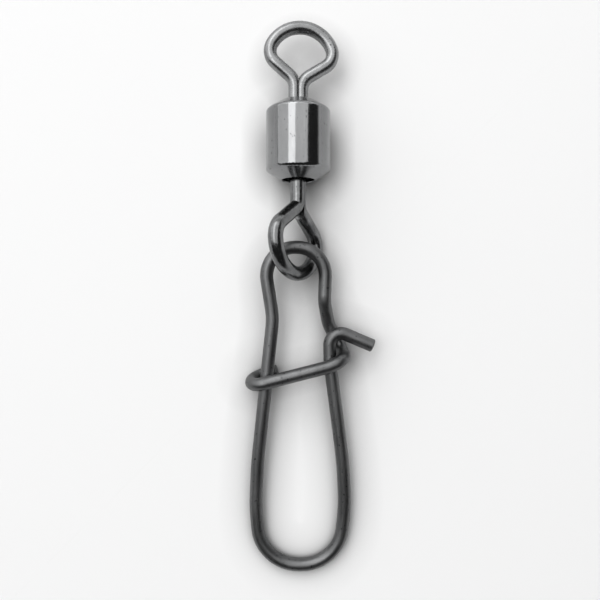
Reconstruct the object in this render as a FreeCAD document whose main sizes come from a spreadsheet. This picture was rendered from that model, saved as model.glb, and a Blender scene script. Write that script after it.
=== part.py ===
import FreeCAD, Part
import math
import os

import Sketcher

Vector = FreeCAD.Vector
Rotation = FreeCAD.Rotation
Placement = FreeCAD.Placement

# Driving sizes, in millimetres and degrees

SIZES = [
    ("barrel_diameter", 4.35, "outside of the drawn barrel"),
    ("barrel_straight", 4.06, "length of its cylindrical wall"),
    ("barrel_shoulder", 0.68, "length of each spun-in conical end"),
    ("barrel_mouth", 2.16, "diameter of the hole at each end"),
    ("barrel_wall", 0.42, "sheet thickness"),
    ("barrel_edge", 0.28, "rounding where the wall turns in"),
    ("barrel_lip", 0.06, "rounding at the mouth"),
    ("bearing_gap", 0.05, "running clearance of a collar in the barrel"),
    ("collar_length", 0.95, "collar, along the axis"),
    ("collar_slack", 0.03, "clearance of the collar's slot round the legs"),
    ("head_diameter", 2.3, "upset head on the two legs of an eye"),
    ("head_length", 0.5, "the same, along the axis"),
    ("head_edge", 0.08, "bevel of a head"),
    ("leg_slit", 0.04, "gap between the two flattened legs of an eye"),
    ("slanted_angle", 49.2, "straight limb of an eye, from the axis"),
    ("shouldered_angle", 58.0, "shouldered limb of an eye, from the axis"),
    ("upper_wire", 0.88, "upper eye: wire diameter"),
    ("upper_ring", 2.24, "radius of the ring's centre line"),
    ("upper_offset", 0.19, "ring centre, off the axis"),
    ("upper_leg", 0.235, "leg centre line, off the axis"),
    ("upper_elbow", 1.1, "bend radius at the elbows"),
    ("upper_slanted_bend", 1.03, "bend from the ring into the straight limb"),
    ("upper_slanted_drop", 1.32, "elbow of the straight limb below the ring centre"),
    ("upper_shouldered_bend", 1.0, "bend from the ring into the shouldered limb"),
    ("upper_shouldered_drop", 1.39, "elbow of that limb below the ring centre"),
    ("upper_reach", 2.76, "ring centre, out from the barrel's mouth"),
    ("upper_turn", 5.0, "turn of the eye about the axis, from flat"),
    ("lower_wire", 1.0, "lower eye: wire diameter"),
    ("lower_ring", 2.43, "radius of the ring's centre line"),
    ("lower_offset", 0.14, "ring centre, off the axis"),
    ("lower_leg", 0.08, "leg centre line, off the axis"),
    ("lower_elbow", 0.62, "bend radius at the elbows"),
    ("lower_slanted_bend", 1.3, "bend from the ring into the straight limb"),
    ("lower_slanted_drop", 1.84, "elbow of the straight limb below the ring centre"),
    ("lower_shouldered_bend", 1.2, "bend from the ring into the shouldered limb"),
    ("lower_shouldered_drop", 2.14, "elbow of that limb below the ring centre"),
    ("lower_reach", 3.82, "ring centre, out from the barrel's mouth"),
    ("lower_turn", 55.5, "turn of the eye about the axis, from flat"),
    ("snap_wire_size", 0.9, "snap: wire diameter"),
    ("snap_pass_gap", 0.03, "clearance where the wire passes itself"),
    ("snap_end_bevel", 0.06, "bevel of the wire's cut ends"),
    ("loop_foot_left", 2.75, "big loop's left leg at its bottom, centre line, off the middle"),
    ("loop_foot_right", 2.66, "big loop's right leg at its bottom, off the middle"),
    ("loop_flat", 0.2, "straight run between the two bends of the big loop's bottom"),
    ("loop_belly_height", 4.3, "where the big loop is widest"),
    ("loop_belly_out", 0.16, "the legs there, farther out than at their waist"),
    ("loop_belly_bend", 12.0, "bend radius there"),
    ("loop_waist_height", 7.4, "where the legs begin to converge"),
    ("loop_waist_left", 2.95, "left leg there, off the middle"),
    ("loop_waist_right", 2.96, "right leg there, off the middle"),
    ("loop_waist_bend", 26.0, "bend radius there"),
    ("bar_height", 12.82, "crossbar, where it turns round the left leg, above the loop's bottom"),
    ("wrap_slack", 0.05, "play of that turn beside the leg, past the wire and its clearance"),
    ("wrap_back_rise", 0.32, "the turn's far side behind the leg, above the crossbar's end"),
    ("stub_reach", 0.7, "end of the wire behind the left leg, inward of the leg"),
    ("stub_rise", 0.78, "height of that end above the crossbar's end"),
    ("hook_foot_side", 2.055, "foot of the hook, off the middle"),
    ("hook_foot_rise", 1.45, "its height above the crossbar's end"),
    ("hook_foot_bend", 4.0, "bend radius there"),
    ("hook_side", 2.0, "hook, off the middle"),
    ("hook_rise", 3.94, "corner of the hook, before it is rounded, above the crossbar's end"),
    ("hook_bend", 0.8, "bend radius of the hook"),
    ("tail_reach", 3.0, "end of the tail, out from the hook"),
    ("tail_drop", 1.28, "end of the tail, below the hook's corner"),
    ("bar_kink_in", 0.1, "where the crossbar steepens, inward of the hook"),
    ("bar_kink_rise", 1.36, "its height above the crossbar's end"),
    ("bar_kink_bend", 2.0, "bend radius there"),
    ("keeper_slack", 0.08, "play of the turn round the hook, past the wire and its clearance"),
    ("keeper_rise", 1.82, "that turn in front of the hook, above the crossbar's end"),
    ("keeper_back_rise", 0.28, "that turn behind the hook, above its front side"),
    ("pass_in", 0.03, "the leg that has sunk behind the hook, inward of the hook"),
    ("pass_rise", 4.08, "where it has sunk, above the crossbar's end"),
    ("pass_bend", 1.4, "bend radius at both ends of that step"),
    ("step_length", 1.6, "length of the step out of the snap's plane"),
    ("step_end_side", 1.66, "right leg where the step ends, off the middle"),
    ("neck_length", 3.72, "neck's straight right leg, from the step to the neck's corner"),
    ("neck_left", 2.6, "neck's left shoulder, off the middle"),
    ("neck_right", 1.78, "neck's right shoulder, off the middle"),
    ("neck_flat", 0.15, "straight run between the two bends of the neck"),
    ("left_waist_rise", 4.58, "left leg's waist, above the crossbar's end"),
    ("left_waist_side", 1.86, "the waist, off the middle"),
    ("left_waist_bend", 4.5, "bend radius there"),
    ("neck_over_pin", 1.8, "neck, centre line, above the eye wire it hangs on"),
    ("neck_off_axis", -0.13, "middle of the snap, off the barrel's axis"),
]

SHEET = "Sizes"

# Points closer than this are the same point
NEAR = 1e-4


def write_sheet(doc):
    sheet = doc.addObject("Spreadsheet::Sheet", SHEET)
    for row, (name, value, note) in enumerate(SIZES, start=1):
        sheet.set(f"A{row}", name)
        sheet.set(f"B{row}", str(value))
        sheet.set(f"C{row}", note)
        sheet.setAlias(f"B{row}", name)
    doc.recompute()
    return sheet


def size(name):
    return float(FreeCAD.ActiveDocument.getObject(SHEET).get(name))


def cell(name):
    return f"{SHEET}.{name}"


# Sketches in a body

def origin_plane(body, role):
    return next(part for part in body.Origin.OriginFeatures if part.Role == role)


def new_body(doc, name):
    body = doc.addObject("PartDesign::Body", name)
    body.Label = name
    return body


def new_sketch(body, name, role):
    sketch = body.newObject("Sketcher::SketchObject", name)
    sketch.AttachmentSupport = [(origin_plane(body, role), "")]
    sketch.MapMode = "FlatFace"
    return sketch


def bind(sketch, constraint, name, expression):
    index = sketch.addConstraint(constraint)
    sketch.renameConstraint(index, name)
    sketch.setExpression(f"Constraints.{name}", expression)


def outline_sketch(body, name, role, corners):
    """A closed outline of straight lines, each corner (x, y, x formula, y formula)."""
    sketch = new_sketch(body, name, role)
    count = len(corners)
    for index, corner in enumerate(corners):
        following = corners[(index + 1) % count]
        start = Vector(corner[0], corner[1], 0)
        end = Vector(following[0], following[1], 0)
        sketch.addGeometry(Part.LineSegment(start, end), False)
    for index in range(count):
        sketch.addConstraint(Sketcher.Constraint("Coincident", index, 2, (index + 1) % count, 1))
    for index, (x, y, x_formula, y_formula) in enumerate(corners):
        across = Sketcher.Constraint("DistanceX", -1, 1, index, 1, x)
        along = Sketcher.Constraint("DistanceY", -1, 1, index, 1, y)
        bind(sketch, across, f"across_{index}", x_formula)
        bind(sketch, along, f"along_{index}", y_formula)
    return sketch


def revolve(body, name, sketch):
    feature = body.newObject("PartDesign::Revolution", name)
    feature.Profile = sketch
    feature.ReferenceAxis = (sketch, ["V_Axis"])
    feature.Angle = 360.0
    return feature


def edges_at(shape, radius, heights):
    """Names of the circular edges about the Y axis with this radius and these heights."""
    names = []
    for index, edge in enumerate(shape.Edges, start=1):
        curve = edge.Curve
        if not isinstance(curve, Part.Circle) or abs(curve.Radius - radius) > NEAR:
            continue
        if any(abs(curve.Center.y - height) < NEAR for height in heights):
            names.append(f"Edge{index}")
    return names


# Barrel: a drawn tube whose two ends are spun in to a mouth

def build_barrel(doc):
    body = new_body(doc, "barrel")
    radius = size("barrel_diameter") / 2
    straight = size("barrel_straight") / 2
    end = straight + size("barrel_shoulder")
    mouth = size("barrel_mouth") / 2
    wall = size("barrel_wall")

    radius_f = f"{cell('barrel_diameter')} / 2"
    straight_f = f"{cell('barrel_straight')} / 2"
    end_f = f"({straight_f} + {cell('barrel_shoulder')})"
    mouth_f = f"{cell('barrel_mouth')} / 2"
    wall_f = cell("barrel_wall")
    # The inside keeps the wall's thickness under the sloping shoulder
    drop_f = f"({radius_f} - {mouth_f})"
    slope_f = f"{cell('barrel_shoulder')} / {drop_f}"
    along_f = f"{wall_f} * sqrt(1 + ({slope_f}) ^ 2)"
    inner_f = f"({radius_f} - {wall_f})"
    bend_f = f"({straight_f} + {wall_f} * ({slope_f}) - {along_f})"
    land_f = f"({end_f} - {along_f})"
    slope = size("barrel_shoulder") / (radius - mouth)
    along = wall * math.hypot(1, slope)
    inner = radius - wall
    bend = straight + wall * slope - along
    land = end - along

    right = [
        (radius, straight, radius_f, straight_f),
        (mouth, end, mouth_f, end_f),
        (mouth, land, mouth_f, land_f),
        (inner, bend, inner_f, bend_f),
    ]
    left = [(x, -y, x_f, f"-({y_f})") for x, y, x_f, y_f in reversed(right)]
    outline = outline_sketch(body, "barrel_section", "XY_Plane", right + left)
    revolve(body, "barrel_tube", outline)
    doc.recompute()

    for name, at_radius, height, amount in (
        ("barrel_edges", radius, straight, "barrel_edge"),
        ("barrel_lips", mouth, end, "barrel_lip"),
    ):
        base = body.Tip
        fillet = body.newObject("PartDesign::Fillet", name)
        fillet.Base = (base, edges_at(base.Shape, at_radius, (height, -height)))
        fillet.setExpression("Radius", cell(amount))
        doc.recompute()
    return body


# Collars: a conical ring on the legs of each eye, which bears inside the barrel's shoulder

def collar_face():
    """Height of the barrel's inner cone at a radius, less the running clearance."""
    radius = size("barrel_diameter") / 2
    mouth = size("barrel_mouth") / 2
    slope = size("barrel_shoulder") / (radius - mouth)
    offset = (size("barrel_wall") + size("bearing_gap")) * math.hypot(1, slope)
    end = size("barrel_straight") / 2 + size("barrel_shoulder")
    return lambda at: end - (at - mouth) * slope - offset


def head_seat():
    """Distance from the barrel's middle to the face where a head meets its collar."""
    return collar_face()(size("barrel_mouth") / 2) - size("collar_length")


def build_collar(doc, prefix):
    body = new_body(doc, f"{prefix}_collar")
    face = collar_face()
    mouth = size("barrel_mouth") / 2
    rim = size("barrel_diameter") / 2 - size("barrel_wall") - size("bearing_gap")
    slope_f = (
        f"{cell('barrel_shoulder')} / ({cell('barrel_diameter')} / 2 - {cell('barrel_mouth')} / 2)"
    )
    gap_f = f"({cell('barrel_wall')} + {cell('bearing_gap')})"
    mouth_f = f"{cell('barrel_mouth')} / 2"
    rim_f = f"({cell('barrel_diameter')} / 2 - {gap_f})"
    front_f = (
        f"({cell('barrel_straight')} / 2 + {cell('barrel_shoulder')}"
        f" - {gap_f} * sqrt(1 + ({slope_f}) ^ 2))"
    )
    side_f = f"({front_f} - ({rim_f} - {mouth_f}) * ({slope_f}))"
    seat_f = f"({front_f} - {cell('collar_length')})"
    corners = [
        (0.0, head_seat(), "0", seat_f),
        (rim, head_seat(), rim_f, seat_f),
        (rim, face(rim), rim_f, side_f),
        (mouth, face(mouth), mouth_f, front_f),
        (0.0, face(mouth), "0", front_f),
    ]
    outline = outline_sketch(body, f"{prefix}_collar_section", "XY_Plane", corners)
    revolve(body, f"{prefix}_collar_ring", outline)
    doc.recompute()

    slot = leg_slot_sketch(body, prefix)
    pocket = body.newObject("PartDesign::Pocket", f"{prefix}_collar_slot")
    pocket.Profile = slot
    pocket.Type = "ThroughAll"
    pocket.Midplane = True
    doc.recompute()
    return body


def leg_slot_sketch(body, prefix):
    """The outline of the two legs side by side, with clearance."""
    sketch = new_sketch(body, f"{prefix}_leg_outline", "XZ_Plane")
    middle = size(f"{prefix}_leg")
    radius = size(f"{prefix}_wire") / 2 + size("collar_slack")
    quarter = math.pi / 2
    normal = Vector(0, 0, 1)
    right = Part.Circle(Vector(middle, 0, 0), normal, radius)
    left = Part.Circle(Vector(-middle, 0, 0), normal, radius)
    sketch.addGeometry(Part.ArcOfCircle(right, -quarter, quarter), False)
    sketch.addGeometry(Part.ArcOfCircle(left, quarter, 3 * quarter), False)
    top = Part.LineSegment(Vector(middle, radius, 0), Vector(-middle, radius, 0))
    bottom = Part.LineSegment(Vector(-middle, -radius, 0), Vector(middle, -radius, 0))
    sketch.addGeometry(top, False)
    sketch.addGeometry(bottom, False)
    for first, second in ((0, 2), (2, 1), (1, 3), (3, 0)):
        sketch.addConstraint(Sketcher.Constraint("Tangent", first, 2, second, 1))
    sketch.addConstraint(Sketcher.Constraint("PointOnObject", 0, 3, -1))
    sketch.addConstraint(Sketcher.Constraint("PointOnObject", 1, 3, -1))
    radius_f = f"{cell(prefix + '_wire')} / 2 + {cell('collar_slack')}"
    bind(sketch, Sketcher.Constraint("Radius", 0, radius), "leg_radius", radius_f)
    right_at = Sketcher.Constraint("DistanceX", -1, 1, 0, 3, middle)
    left_at = Sketcher.Constraint("DistanceX", 1, 3, -1, 1, middle)
    bind(sketch, right_at, "right_leg", cell(f"{prefix}_leg"))
    bind(sketch, left_at, "left_leg", cell(f"{prefix}_leg"))
    return sketch


# Wire paths: straight runs joined by tangent arcs

def corner_arc(before, corner, after, radius):
    """The arc of this radius that rounds a corner, as its start, middle and end."""
    back = (before - corner).normalize()
    ahead = (after - corner).normalize()
    half = back.getAngle(ahead) / 2
    reach = radius / math.tan(half)
    inward = (back + ahead).normalize()
    middle = corner + inward * (radius / math.sin(half) - radius)
    return corner + back * reach, middle, corner + ahead * reach


def rounded_path(corners):
    """Edges through (point, bend radius) corners; the first and last are the path's ends."""
    edges = []
    start = corners[0][0]
    for (before, _), (corner, radius), (after, _) in zip(corners, corners[1:], corners[2:]):
        arc = corner_arc(before, corner, after, radius)
        if (arc[0] - start).dot(corner - start) < 0 and (arc[0] - start).Length > NEAR:
            raise ValueError(f"the bend at {corner} is too large for the run before it")
        if (arc[0] - start).Length > NEAR:
            edges.append(Part.LineSegment(start, arc[0]).toShape())
        edges.append(Part.Arc(*arc).toShape())
        start = arc[2]
    last = corners[-1][0]
    if (start - corners[-2][0]).Length > (last - corners[-2][0]).Length:
        raise ValueError(f"the bend at {corners[-2][0]} is too large for the last run")
    edges.append(Part.LineSegment(start, last).toShape())
    return edges


def path_object(doc, name, edges):
    path = doc.addObject("Part::Feature", name)
    path.Shape = Part.Wire(edges)
    return path


def sweep_wire(doc, name, path, start, direction, diameter_cell):
    """A round wire along a path."""
    ring = doc.addObject("Part::Circle", f"{name}_section")
    ring.setExpression("Radius", f"{cell(diameter_cell)} / 2")
    ring.Placement = Placement(start, Rotation(Vector(0, 0, 1), direction))
    sweep = doc.addObject("Part::Sweep", name)
    sweep.Sections = [ring]
    sweep.Spine = (path, [f"Edge{index + 1}" for index in range(len(path.Shape.Edges))])
    sweep.Solid = True
    sweep.Frenet = False
    return sweep


# Eyes: one wire bent to a ring, its two legs flattened together and upset to a head

def eye_half_path(prefix, side, leg_end):
    """Centre line of half an eye from a leg's end to the top of the ring, at x = 0.

    side is -1 for the straight limb and 1 for the shouldered one.
    """
    kind = "slanted" if side < 0 else "shouldered"
    ring = size(f"{prefix}_ring")
    bend = size(f"{prefix}_{kind}_bend")
    angle = math.radians(size(f"{kind}_angle"))
    centre = Vector(size(f"{prefix}_offset"), 0, 0)
    leg = side * size(f"{prefix}_leg")
    elbow = Vector(leg, -size(f"{prefix}_{kind}_drop"), 0)
    limb = Vector(side * math.sin(angle), math.cos(angle), 0)
    outward = Vector(side * math.cos(angle), -math.sin(angle), 0)

    # The bend touches the limb's line and the ring from inside
    away = (elbow - centre).dot(outward)
    opening = math.acos((away - bend) / (ring - bend))
    limb_angle = math.atan2(outward.y, outward.x)
    ring_angle = limb_angle + side * opening
    on_ring = Vector(math.cos(ring_angle), math.sin(ring_angle), 0)
    bend_centre = centre + on_ring * (ring - bend)
    halfway = (limb_angle + ring_angle) / 2
    bend_middle = bend_centre + Vector(math.cos(halfway), math.sin(halfway), 0) * bend

    top_angle = math.acos(-centre.x / ring)
    if side < 0:
        top_angle -= 2 * math.pi
    ring_halfway = (ring_angle + top_angle) / 2
    ring_middle = centre + Vector(math.cos(ring_halfway), math.sin(ring_halfway), 0) * ring
    top = centre + Vector(math.cos(top_angle), math.sin(top_angle), 0) * ring

    foot = Vector(leg, leg_end, 0)
    elbow_arc = corner_arc(foot, elbow, elbow + limb, size(f"{prefix}_elbow"))
    limb_end = bend_centre + outward * bend
    return [
        Part.LineSegment(foot, elbow_arc[0]).toShape(),
        Part.Arc(*elbow_arc).toShape(),
        Part.LineSegment(elbow_arc[2], limb_end).toShape(),
        Part.Arc(limb_end, bend_middle, bend_centre + on_ring * bend).toShape(),
        Part.Arc(bend_centre + on_ring * bend, ring_middle, top).toShape(),
    ]


def build_eye(doc, prefix):
    mouth_out = size("barrel_straight") / 2 + size("barrel_shoulder")
    seat = -size(f"{prefix}_reach") - mouth_out + head_seat()
    leg_end = seat - size("head_length") / 2
    halves = []
    for side, name in ((-1, "slanted"), (1, "shouldered")):
        edges = eye_half_path(prefix, side, leg_end)
        path = path_object(doc, f"{prefix}_{name}_path", edges)
        start = edges[0].valueAt(edges[0].FirstParameter)
        swept = sweep_wire(
            doc, f"{prefix}_{name}_wire", path, start, Vector(0, 1, 0), f"{prefix}_wire"
        )
        # The legs are pressed flat against each other below the ring
        press = doc.addObject("Part::Box", f"{prefix}_{name}_press")
        press.setExpression("Length", cell(f"{prefix}_wire"))
        press.setExpression("Width", f"2 * {cell(prefix + '_wire')}")
        press.Height = -leg_end + size(f"{prefix}_wire")
        across = -size("leg_slit") / 2
        if side > 0:
            across = -across - size(f"{prefix}_wire")
        press.Placement = Placement(
            Vector(across, leg_end - size(f"{prefix}_wire"), size(f"{prefix}_wire")),
            Rotation(Vector(1, 0, 0), -90),
        )
        half = doc.addObject("Part::Cut", f"{prefix}_{name}_half")
        half.Base = swept
        half.Tool = press
        halves.append(half)

    head = doc.addObject("Part::Cylinder", f"{prefix}_head_blank")
    head.setExpression("Radius", f"{cell('head_diameter')} / 2")
    head.setExpression("Height", cell("head_length"))
    head.Placement = Placement(Vector(0, seat, 0), Rotation(Vector(0, 0, 1), Vector(0, -1, 0)))
    doc.recompute()
    bevel = doc.addObject("Part::Chamfer", f"{prefix}_head")
    bevel.Base = head
    rims = [
        index
        for index, edge in enumerate(head.Shape.Edges, start=1)
        if isinstance(edge.Curve, Part.Circle)
    ]
    bevel.Edges = [(index, size("head_edge"), size("head_edge")) for index in rims]

    eye = doc.addObject("Part::MultiFuse", f"{prefix}_eye")
    eye.Shapes = halves + [bevel]
    eye.Label = f"{prefix}_eye"
    doc.recompute()
    return eye


# Snap: one bent wire, in its own plane, with x across, y up from the loop's bottom, z out of it

def neck_height():
    heights = ("bar_height", "pass_rise", "step_length", "neck_length")
    return sum(size(name) for name in heights)


def left_leg_side(height):
    """The left leg's distance from the middle, between its waist and the big loop's."""
    low = size("loop_waist_height")
    high = size("bar_height") + size("left_waist_rise")
    share = (height - low) / (high - low)
    return size("loop_waist_left") * (1 - share) + size("left_waist_side") * share


def filling_bend(before, first, second, after, flat):
    """The bend radius at both corners that leaves this straight run between them."""
    reach = 0.0
    for leg, corner, other in ((before, first, second), (after, second, first)):
        reach += 1 / math.tan((leg - corner).getAngle(other - corner) / 2)
    return ((second - first).Length - flat) / reach


def snap_corners():
    beside = size("snap_wire_size") + size("snap_pass_gap")
    behind = -beside
    front = beside
    # Just under half the turn's depth, which leaves a short straight run
    turn = beside * 0.995

    def at(side, height, out=0.0):
        return Vector(side, height, out)

    bar = size("bar_height")
    stub = bar + size("stub_rise")
    wrap = left_leg_side(bar) + beside + size("wrap_slack")
    hook = size("hook_side")
    keeper = hook + beside + size("keeper_slack")
    keeper_front = bar + size("keeper_rise")
    sunk = bar + size("pass_rise")
    hook_top = bar + size("hook_rise")

    step_end = at(size("step_end_side"), sunk + size("step_length"))
    neck_right = at(size("neck_right"), neck_height())
    neck_left = at(-size("neck_left"), neck_height())
    left_waist = at(-size("left_waist_side"), bar + size("left_waist_rise"))
    neck_bend = filling_bend(step_end, neck_right, neck_left, left_waist, size("neck_flat"))

    belly = size("loop_belly_height")
    belly_left = at(-size("loop_waist_left") - size("loop_belly_out"), belly)
    belly_right = at(size("loop_waist_right") + size("loop_belly_out"), belly)
    foot_left = at(-size("loop_foot_left"), 0)
    foot_right = at(size("loop_foot_right"), 0)
    loop_bend = filling_bend(belly_left, foot_left, foot_right, belly_right, size("loop_flat"))

    return [
        (at(size("stub_reach") - left_leg_side(stub), stub, behind), 0),
        (at(-wrap, bar + size("wrap_back_rise"), behind), turn),
        (at(-wrap, bar, front), turn),
        (at(hook - size("bar_kink_in"), bar + size("bar_kink_rise"), front), size("bar_kink_bend")),
        (at(keeper, keeper_front, front), turn),
        (at(keeper, keeper_front + size("keeper_back_rise"), behind), turn),
        (at(hook - size("pass_in"), sunk, behind), size("pass_bend")),
        (step_end, size("pass_bend")),
        (neck_right, neck_bend),
        (neck_left, neck_bend),
        (left_waist, size("left_waist_bend")),
        (at(-size("loop_waist_left"), size("loop_waist_height")), size("loop_waist_bend")),
        (belly_left, size("loop_belly_bend")),
        (foot_left, loop_bend),
        (foot_right, loop_bend),
        (belly_right, size("loop_belly_bend")),
        (at(size("loop_waist_right"), size("loop_waist_height")), size("loop_waist_bend")),
        (at(size("hook_foot_side"), bar + size("hook_foot_rise")), size("hook_foot_bend")),
        (at(hook, hook_top), size("hook_bend")),
        (at(hook + size("tail_reach"), hook_top - size("tail_drop")), 0),
    ]


def build_snap(doc):
    corners = snap_corners()
    edges = rounded_path(corners)
    path = path_object(doc, "snap_path", edges)
    start = corners[0][0]
    direction = (corners[1][0] - start).normalize()
    swept = sweep_wire(doc, "snap_swept", path, start, direction, "snap_wire_size")
    doc.recompute()
    section = math.pi * size("snap_wire_size") ** 2 / 4
    length = sum(edge.Length for edge in edges)
    volume = swept.Shape.Volume
    print(f"snap wire: length {length:.2f}, volume {volume:.3f}, expected {section * length:.3f}")

    snap = doc.addObject("Part::Chamfer", "snap_wire")
    snap.Base = swept
    ends = [corners[0][0], corners[-1][0]]
    rims = [
        index
        for index, edge in enumerate(swept.Shape.Edges, start=1)
        if any((edge.CenterOfMass - end).Length < NEAR for end in ends)
    ]
    snap.Edges = [(index, size("snap_end_bevel"), size("snap_end_bevel")) for index in rims]
    snap.Label = "snap_wire"
    doc.recompute()
    return snap


# How the swivel lies: the snap and the barrel on the surface, the lower eye leaning on it

def snap_lie():
    """The snap rests on its loop's bottom and on the turn behind its left leg."""
    behind = size("snap_wire_size") + size("snap_pass_gap")
    tilt = math.atan2(behind, size("bar_height") + size("wrap_back_rise"))
    return Placement(Vector(0, 0, 0), Rotation(Vector(1, 0, 0), math.degrees(tilt)))


def swivel_tilt():
    """The barrel rests on its far edge and the lower eye on its low side."""
    radius = size("barrel_diameter") / 2
    straight = size("barrel_straight") / 2
    mouth_out = straight + size("barrel_shoulder")
    turn = math.radians(size("lower_turn"))
    path = Part.Wire(eye_half_path("lower", -1, -size("lower_reach")))
    low_side = -path.BoundBox.XMin * math.sin(turn) + size("lower_wire") / 2
    arm = straight + mouth_out + size("lower_reach")
    return math.asin((low_side - radius) / arm), low_side


def place_all(barrel, eyes, collars, snap):
    snap.Placement = snap_lie()
    neck = snap.Placement.multVec(Vector(0, neck_height(), 0))
    tilt, low_side = swivel_tilt()
    mouth_out = size("barrel_straight") / 2 + size("barrel_shoulder")
    reach = {name: mouth_out + size(f"{name}_reach") for name in ("upper", "lower")}

    # The eye wire that the neck hangs on is the lower ring's far side
    surface = -size("snap_wire_size") / 2
    axis = Vector(0, math.cos(tilt), -math.sin(tilt))
    ring = Vector(
        size("neck_off_axis"),
        neck.y - size("neck_over_pin") + size("lower_ring"),
        surface + low_side,
    )
    lie = Rotation(Vector(1, 0, 0), -math.degrees(tilt))
    middle = Placement(ring + axis * reach["lower"], lie)
    barrel.Placement = middle

    turned_back = Rotation(Vector(0, 0, 1), 180)
    turns = {
        "upper": Rotation(Vector(0, 1, 0), size("upper_turn")),
        "lower": Rotation(Vector(0, 1, 0), size("lower_turn")).multiply(turned_back),
    }
    for name, eye in eyes.items():
        outward = Vector(0, reach[name] if name == "upper" else -reach[name], 0)
        eye.Placement = middle.multiply(Placement(outward, turns[name]))
    for name, collar in collars.items():
        collar.Placement = middle.multiply(Placement(Vector(0, 0, 0), turns[name]))

    pieces = [barrel, snap, *eyes.values(), *collars.values()]
    box = FreeCAD.BoundBox()
    for piece in pieces:
        box.add(piece.Shape.optimalBoundingBox(False, False))
    to_origin = Placement(Vector(-box.Center.x, -box.Center.y, -box.ZMin), Rotation())
    for piece in pieces:
        piece.Placement = to_origin.multiply(piece.Placement)
    return pieces


def check(doc, pieces):
    for item in doc.Objects:
        if "Invalid" in item.State or "Error" in item.State:
            raise RuntimeError(f"{item.Label} did not build: {item.State}")
    for piece in pieces:
        shape = piece.Shape
        if shape.isNull() or not shape.isValid() or len(shape.Solids) != 1:
            raise RuntimeError(f"{piece.Label} is not one valid solid")


def main():
    doc = FreeCAD.newDocument("snap_swivel")
    write_sheet(doc)
    barrel = build_barrel(doc)
    collars = {name: build_collar(doc, name) for name in ("upper", "lower")}
    eyes = {name: build_eye(doc, name) for name in ("upper", "lower")}
    snap = build_snap(doc)
    pieces = place_all(barrel, eyes, collars, snap)
    doc.recompute()
    check(doc, pieces)

    os.makedirs("parts", exist_ok=True)
    for piece in pieces:
        piece.Shape.exportStep(f"parts/{piece.Label}.step")
        print(f"{piece.Label}: volume {piece.Shape.Volume:.4f}, {len(piece.Shape.Faces)} faces")


main()
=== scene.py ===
import math

import bpy
from mathutils import Matrix, Vector


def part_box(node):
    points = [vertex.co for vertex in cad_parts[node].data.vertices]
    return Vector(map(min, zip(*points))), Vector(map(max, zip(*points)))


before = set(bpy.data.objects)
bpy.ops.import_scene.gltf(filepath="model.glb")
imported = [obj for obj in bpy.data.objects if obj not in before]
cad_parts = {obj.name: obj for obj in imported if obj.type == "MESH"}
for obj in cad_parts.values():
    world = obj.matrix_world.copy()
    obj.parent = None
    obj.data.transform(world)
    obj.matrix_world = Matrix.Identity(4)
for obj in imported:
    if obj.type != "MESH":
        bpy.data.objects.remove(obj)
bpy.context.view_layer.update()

# The camera looks straight down; its place is measured from the snap's box
SENSOR_MM = 36.0
CAMERA_HEIGHT = 0.04544
VIEW_WIDTH_ON_FLOOR = 0.0426
CAMERA_LEFT_OF_SNAP_MIDDLE = 0.00069
CAMERA_ABOVE_LOOP = 0.01904
CAMERA_CLIP = (0.001, 10.0)

# Studio: radiance of each panel and of the room, where a lit white floor is 1
PANEL_RADIANCE = 1.5
STRIP_RADIANCE = 2.1
BACK_RADIANCE = 0.8
WORLD_RADIANCE = 0.05

# The floor: its size, its colour as a light source and as it is seen, and the reach of the painted shade
# round the object
FLOOR_SIZE = 3.0
FLOOR_ALBEDO = 0.8
FLOOR_SEEN = 0.87
PAINTED_SHADE_REACH = 0.0025
PAINTED_SHADE_SAMPLES = 16

# Where the seen paper turns as white as the backdrop, in metres, and the backdrop's upper edge as a sine
FLOOR_FADE = (0.07, 0.25)
BAND_FADE = (0.14, 0.3)

# The plating's slight blue: how much its red falls and its blue rises
COOL = -0.012

# Surface: the noise levels between which each feature fades in, and what it does to the metal
PATCH_FADE = (0.32, 0.68)
PIT_SCALE = 5200.0
PIT_EDGE = 0.72
PIT_FADE = 0.05
PIT_TONE = 0.3
LINE_FADE = (0.3, 0.75)
LINES_IN_BUMP = 0.25
SCUFF_SCALE = 0.35
SCUFF_FADE = (0.56, 0.66)
SCUFF_TONE = 1.22
SCUFF_ROUGHNESS = 1.15

# Sockets of the Mix node by number, because its float and colour sockets share their names
FACTOR = 0
FLOAT_A = 2
FLOAT_B = 3
FLOAT_RESULT = 0
COLOR_A = 6
COLOR_B = 7
COLOR_RESULT = 2


# Materials

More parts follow.
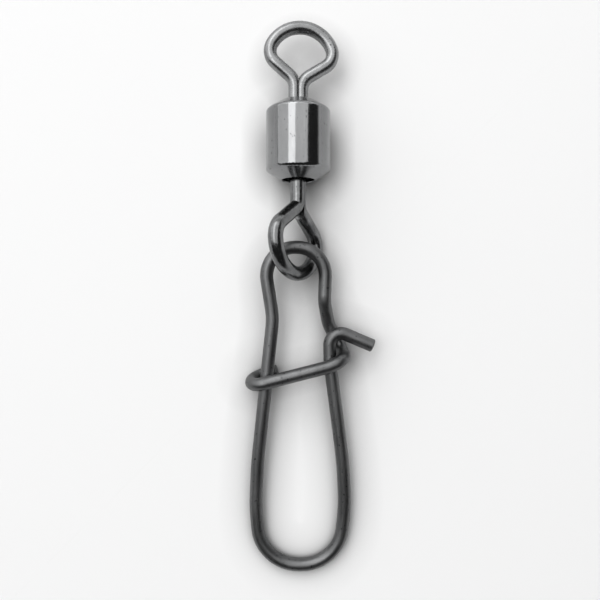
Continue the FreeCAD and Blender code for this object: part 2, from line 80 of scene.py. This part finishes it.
class Shader:
    """A material's node tree with one Principled shader."""

    def __init__(self, name):
        self.material = bpy.data.materials.new(name)
        self.material.use_nodes = True
        self.nodes = self.material.node_tree.nodes
        self.links = self.material.node_tree.links
        self.surface = self.nodes["Principled BSDF"]
        self.place = self.nodes.new("ShaderNodeTexCoord").outputs["Object"]

    def link(self, source, target):
        self.links.new(source, target)

    def noise(self, scale, detail, roughness=0.55, distortion=0.0):
        """Noise with a scale for each axis, per metre."""
        mapping = self.nodes.new("ShaderNodeMapping")
        mapping.inputs["Scale"].default_value = scale
        self.link(self.place, mapping.inputs["Vector"])
        noise = self.nodes.new("ShaderNodeTexNoise")
        noise.inputs["Scale"].default_value = 1.0
        noise.inputs["Detail"].default_value = detail
        noise.inputs["Roughness"].default_value = roughness
        noise.inputs["Distortion"].default_value = distortion
        self.link(mapping.outputs["Vector"], noise.inputs["Vector"])
        return noise.outputs["Fac"]

    def ramp(self, value, positions, colors):
        ramp = self.nodes.new("ShaderNodeValToRGB")
        for point, position, color in zip(ramp.color_ramp.elements, positions, colors):
            point.position = position
            point.color = color
        self.link(value, ramp.inputs["Fac"])
        return ramp.outputs["Color"]

    def mix(self, factor, first, second, blend="MIX"):
        mix = self.nodes.new("ShaderNodeMix")
        mix.data_type = "RGBA"
        mix.blend_type = blend
        for number, value in ((FACTOR, factor), (COLOR_A, first), (COLOR_B, second)):
            if isinstance(value, bpy.types.NodeSocket):
                self.link(value, mix.inputs[number])
            else:
                mix.inputs[number].default_value = value
        return mix.outputs[COLOR_RESULT]

    def bump(self, height, distance):
        bump = self.nodes.new("ShaderNodeBump")
        bump.inputs["Distance"].default_value = distance
        bump.inputs["Strength"].default_value = 1.0
        self.link(height, bump.inputs["Height"])
        self.link(bump.outputs["Normal"], self.surface.inputs["Normal"])


def grey(level, warmth=0.0):
    return (level * (1 + warmth), level, level * (1 - warmth), 1.0)


def metal(name, tone, roughness, mottle, grain, pits, swell, wave):
    """Black nickel on drawn metal: uneven tone, draw lines, pits, scuffs and a slight unevenness.

    tone is (low, high) reflectance, roughness the same; mottle and grain are (x, y, z) noise scales
    per metre, pits their share of the surface, swell the unevenness's scale and wave its depth.
    """
    shader = Shader(name)
    surface = shader.surface
    surface.inputs["Metallic"].default_value = 1.0

    patches = shader.noise(mottle, detail=5.0)
    base = shader.ramp(patches, PATCH_FADE, [grey(level, COOL) for level in tone])
    pit = shader.noise((PIT_SCALE, PIT_SCALE, PIT_SCALE), detail=2.0)
    pit_edge = PIT_EDGE - pits
    pitted = shader.ramp(pit, (pit_edge, pit_edge + PIT_FADE), (grey(1.0), grey(PIT_TONE)))
    color = shader.mix(1.0, base, pitted, "MULTIPLY")

    lines = shader.noise(grain, detail=6.0, roughness=0.7)
    scuff_scale = [scale * SCUFF_SCALE for scale in grain]
    scuffs = shader.noise(scuff_scale, detail=8.0, roughness=0.75, distortion=1.5)
    scuffed = shader.ramp(scuffs, SCUFF_FADE, (grey(0.0), grey(1.0)))
    rubbed = shader.mix(1.0, color, grey(SCUFF_TONE), "MULTIPLY")
    shader.link(shader.mix(scuffed, color, rubbed), surface.inputs["Base Color"])

    spread = shader.ramp(lines, LINE_FADE, [grey(level) for level in roughness])
    dulled = shader.mix(scuffed, spread, grey(roughness[1] * SCUFF_ROUGHNESS))
    shader.link(dulled, surface.inputs["Roughness"])

    wavy = shader.noise((swell, swell, swell), detail=2.0)
    height = shader.mix(LINES_IN_BUMP, wavy, lines)
    shader.bump(shader.mix(1.0, height, pitted, "MULTIPLY"), wave)
    return shader.material


MATERIALS = {
    "barrel": metal(
        "black_nickel_barrel",
        tone=(0.2, 0.25),
        roughness=(0.08, 0.15),
        mottle=(700.0, 260.0, 700.0),
        grain=(9000.0, 260.0, 9000.0),
        pits=0.05,
        swell=900.0,
        wave=0.000006,
    ),
    "upper_eye": metal(
        "black_nickel_upper_eye",
        tone=(0.19, 0.27),
        roughness=(0.22, 0.34),
        mottle=(900.0, 900.0, 900.0),
        grain=(5000.0, 5000.0, 5000.0),
        pits=0.05,
        swell=1000.0,
        wave=0.000006,
    ),
    "lower_eye": metal(
        "black_nickel_lower_eye",
        tone=(0.11, 0.2),
        roughness=(0.13, 0.26),
        mottle=(1300.0, 1300.0, 1300.0),
        grain=(3600.0, 3600.0, 3600.0),
        pits=0.07,
        swell=1200.0,
        wave=0.000024,
    ),
    "collar": metal(
        "dark_collar",
        tone=(0.08, 0.12),
        roughness=(0.3, 0.45),
        mottle=(900.0, 900.0, 900.0),
        grain=(4000.0, 4000.0, 4000.0),
        pits=0.06,
        swell=900.0,
        wave=0.000008,
    ),
    "snap": metal(
        "dark_spring_wire",
        tone=(0.095, 0.155),
        roughness=(0.34, 0.46),
        mottle=(600.0, 220.0, 600.0),
        grain=(5200.0, 700.0, 5200.0),
        pits=0.06,
        swell=800.0,
        wave=0.000012,
    ),
}

for node, material in (
    ("barrel", "barrel"),
    ("upper_eye", "upper_eye"),
    ("lower_eye", "lower_eye"),
    ("upper_collar", "collar"),
    ("lower_collar", "collar"),
    ("snap_wire", "snap"),
):
    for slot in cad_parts[node].material_slots:
        slot.material = MATERIALS[material]


# Studio

def scaled(nodes, links, value, factor):
    """value times factor, which is a number or a socket."""
    product = nodes.new("ShaderNodeMath")
    product.operation = "MULTIPLY"
    links.new(value, product.inputs[0])
    if isinstance(factor, bpy.types.NodeSocket):
        links.new(factor, product.inputs[1])
    else:
        product.inputs[1].default_value = factor
    return product.outputs[0]


def eased(nodes, links, value, span, levels):
    """A smooth step from the first level to the second while value crosses the span."""
    step = nodes.new("ShaderNodeMapRange")
    step.interpolation_type = "SMOOTHSTEP"
    step.inputs["From Min"].default_value = span[0]
    step.inputs["From Max"].default_value = span[1]
    step.inputs["To Min"].default_value = levels[0]
    step.inputs["To Max"].default_value = levels[1]
    links.new(value, step.inputs["Value"])
    return step.outputs["Result"]


def seen_directly(nodes, links):
    """1 for the rays of the camera, of reflections and through glass."""
    rays = nodes.new("ShaderNodeLightPath")
    seen = rays.outputs["Is Camera Ray"]
    for kind in ("Is Glossy Ray", "Is Transmission Ray"):
        either = nodes.new("ShaderNodeMath")
        either.operation = "MAXIMUM"
        links.new(seen, either.inputs[0])
        links.new(rays.outputs[kind], either.inputs[1])
        seen = either.outputs[0]
    return seen


def floor_material():
    """White paper; the camera and reflections see a painted shade, a soft dark halo from ambient
    occlusion, where something is close to it.

    Far from the object they see the paper as white as the backdrop that it runs into.
    """
    material = bpy.data.materials.new("studio_paper")
    material.use_nodes = True
    nodes = material.node_tree.nodes
    links = material.node_tree.links
    nodes.remove(nodes["Principled BSDF"])
    seen = seen_directly(nodes, links)

    # Painted shade: ambient occlusion darkens the paper near the object, as the camera and reflections
    # see it
    painted_shade = nodes.new("ShaderNodeAmbientOcclusion")
    painted_shade.samples = PAINTED_SHADE_SAMPLES
    painted_shade.inputs["Distance"].default_value = PAINTED_SHADE_REACH
    tone = nodes.new("ShaderNodeMix")
    tone.data_type = "RGBA"
    tone.inputs[COLOR_A].default_value = grey(FLOOR_ALBEDO)
    links.new(scaled(nodes, links, painted_shade.outputs["AO"], FLOOR_SEEN), tone.inputs[COLOR_B])
    links.new(seen, tone.inputs[FACTOR])
    paper = nodes.new("ShaderNodeBsdfDiffuse")
    links.new(tone.outputs[COLOR_RESULT], paper.inputs["Color"])

    distance = nodes.new("ShaderNodeVectorMath")
    distance.operation = "LENGTH"
    links.new(nodes.new("ShaderNodeTexCoord").outputs["Object"], distance.inputs[0])
    far = eased(nodes, links, distance.outputs["Value"], FLOOR_FADE, (0.0, 1.0))
    surface = nodes.new("ShaderNodeMixShader")
    links.new(scaled(nodes, links, far, seen), surface.inputs[0])
    links.new(paper.outputs["BSDF"], surface.inputs[1])
    links.new(nodes.new("ShaderNodeEmission").outputs["Emission"], surface.inputs[2])
    links.new(surface.outputs[0], nodes["Material Output"].inputs["Surface"])
    return material


def add_floor():
    mesh = bpy.data.meshes.new("studio_floor")
    half = FLOOR_SIZE / 2
    corners = [(-half, -half, 0.0), (half, -half, 0.0), (half, half, 0.0), (-half, half, 0.0)]
    mesh.from_pydata(corners, [], [(0, 1, 2, 3)])
    floor = bpy.data.objects.new("studio_floor", mesh)
    bpy.context.scene.collection.objects.link(floor)
    floor.data.materials.append(floor_material())


def add_panel(name, side_angle, back_angle, distance, half_angles, radiance):
    """A flat softbox; its angles from straight up are towards -X and +Y, its half angles in X and Y."""
    width, height = (2 * distance * math.tan(math.radians(angle)) for angle in half_angles)
    data = bpy.data.lights.new(name, "AREA")
    data.shape = "RECTANGLE"
    data.size = width
    data.size_y = height
    data.energy = radiance * math.pi * width * height
    lamp = bpy.data.objects.new(name, data)
    bpy.context.scene.collection.objects.link(lamp)
    side = -math.tan(math.radians(side_angle))
    back = math.tan(math.radians(back_angle))
    toward = Vector((side, back, 1.0)).normalized()
    across = Vector((0.0, 1.0, 0.0)).cross(toward).normalized()
    lamp.matrix_world = Matrix((across, toward.cross(across), toward)).transposed().to_4x4()
    lamp.location = toward * distance


def add_world():
    """A dim room with a white band low round the set, for the camera and reflections alike."""
    world = bpy.data.worlds.new("studio_room")
    world.use_nodes = True
    bpy.context.scene.world = world
    nodes = world.node_tree.nodes
    links = world.node_tree.links
    direction = nodes.new("ShaderNodeSeparateXYZ")
    links.new(nodes.new("ShaderNodeTexCoord").outputs["Generated"], direction.inputs[0])
    band = eased(nodes, links, direction.outputs["Z"], BAND_FADE, (1.0, WORLD_RADIANCE))
    level = nodes.new("ShaderNodeMix")
    level.data_type = "FLOAT"
    level.inputs[FLOAT_A].default_value = WORLD_RADIANCE
    links.new(band, level.inputs[FLOAT_B])
    links.new(seen_directly(nodes, links), level.inputs[FACTOR])
    background = nodes["Background"]
    background.inputs["Color"].default_value = grey(1.0)
    links.new(level.outputs[FLOAT_RESULT], background.inputs["Strength"])


def add_camera():
    low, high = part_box("snap_wire")
    middle = (low.x + high.x) / 2
    data = bpy.data.cameras.new("top_camera")
    data.sensor_width = SENSOR_MM
    data.lens = SENSOR_MM * CAMERA_HEIGHT / VIEW_WIDTH_ON_FLOOR
    data.clip_start, data.clip_end = CAMERA_CLIP
    camera = bpy.data.objects.new("top_camera", data)
    bpy.context.scene.collection.objects.link(camera)
    left_right = middle - CAMERA_LEFT_OF_SNAP_MIDDLE
    camera.location = (left_right, low.y + CAMERA_ABOVE_LOOP, CAMERA_HEIGHT)
    bpy.context.scene.camera = camera


add_floor()
add_panel(
    "soft_panel",
    side_angle=21.0,
    back_angle=25.0,
    distance=0.5,
    half_angles=(52.0, 38.0),
    radiance=PANEL_RADIANCE,
)
add_panel(
    "bright_strip",
    side_angle=22.0,
    back_angle=25.0,
    distance=0.4,
    half_angles=(11.5, 36.0),
    radiance=STRIP_RADIANCE,
)
add_panel(
    "back_panel",
    side_angle=0.0,
    back_angle=66.0,
    distance=0.5,
    half_angles=(40.0, 22.0),
    radiance=BACK_RADIANCE,
)
add_world()
add_camera()

bpy.context.scene.view_settings.view_transform = "Standard"
